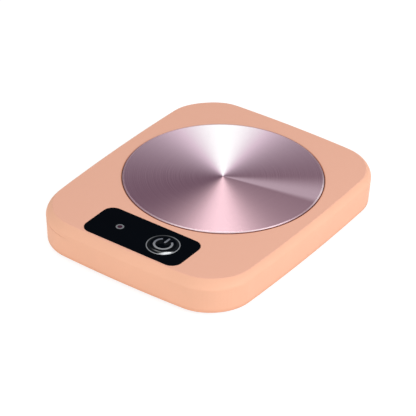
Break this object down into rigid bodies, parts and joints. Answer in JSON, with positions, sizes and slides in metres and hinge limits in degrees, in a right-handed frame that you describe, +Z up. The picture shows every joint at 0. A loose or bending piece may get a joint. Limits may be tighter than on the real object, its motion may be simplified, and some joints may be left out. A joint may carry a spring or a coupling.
{
  "type": "electric mug warmer",
  "caption": "Low rounded-square electric mug warmer with a round spun-metal hot plate, a black control panel with a power push button and an indicator, and a DC inlet at the rear.",
  "frame": {"origin": "middle of the footprint, on the surface that the feet stand on", "axes": "+Z up; -Y is the front, with the control panel; +Y is the rear, with the DC inlet; +X is to the right seen from the front"},
  "size_m": [0.1076, 0.1324, 0.0176],
  "materials": {
    "housing_plastic": "soft-touch satin, peach",
    "spun_metal": "circular spun finish, pink-grey anodised",
    "chrome": "bright",
    "panel_black": "gloss black acrylic",
    "cap_black": "gloss black",
    "symbol_grey": "translucent grey inlay",
    "lens_wine": "dark wine-red translucent",
    "led_red": "clear red epoxy",
    "black_plastic": "satin",
    "white_plastic": "satin",
    "silicone": "matt brown silicone",
    "foot_rubber": "matt",
    "steel": "zinc plated",
    "heater_film": "polyimide film over etched foil",
    "insulation": "felted fibre",
    "board_green": "solder mask over glass-epoxy board",
    "component_black": "moulded epoxy",
    "capacitor_sleeve": "shrink sleeve",
    "adhesive": "double-sided adhesive sheet",
    "label_foil": "blank label film",
    "ceramic": "ceramic case",
    "lead_black": "cable jacket",
    "lead_red": "silicone lead",
    "lead_white": "cable jacket"
  },
  "bodies": {
    "housing": {"top_housing": "housing_plastic", "bottom_housing": "housing_plastic", "housing_screws": "steel", "rubber_feet": "foot_rubber", "rating_label": "label_foil", "hot_plate": "spun_metal", "plate_studs": "steel", "plate_gasket": "silicone", "heating_element": "heater_film", "insulation_pad": "insulation", "clamp_plate": "steel", "plate_washers": "steel", "plate_nuts": "steel", "temperature_sensor": "steel", "sensor_bracket": "steel", "thermal_cutout": "ceramic", "cutout_clip": "steel", "strap_rivets": "steel", "control_panel": "panel_black", "panel_adhesive": "adhesive", "button_bezel": "chrome", "push_switch": "component_black", "indicator_bezel": "chrome", "indicator_lens": "lens_wine", "indicator_led": "led_red", "led_spacer": "white_plastic", "control_board": "board_green", "board_screws": "steel", "control_chip": "component_black", "power_transistor": "component_black", "smoothing_capacitor": "capacitor_sleeve", "board_resistors": "component_black", "power_connector": "white_plastic", "heater_connector": "white_plastic", "sensor_connector": "white_plastic", "power_inlet": "black_plastic", "inlet_pin": "chrome", "inlet_contact": "chrome", "power_lead": "lead_black", "heater_leads": "lead_red", "sensor_lead": "lead_white"},
    "power_button": {"power_button": "cap_black", "power_symbol": "symbol_grey", "switch_plunger": "black_plastic"}
  },
  "joints": [
    {"name": "power_button_press", "type": "slide", "parent": "housing", "child": "power_button", "axis": [0, 0, -1], "range_m": [0, 0.0005], "stiffness_N_per_m": 1200}
  ]
}
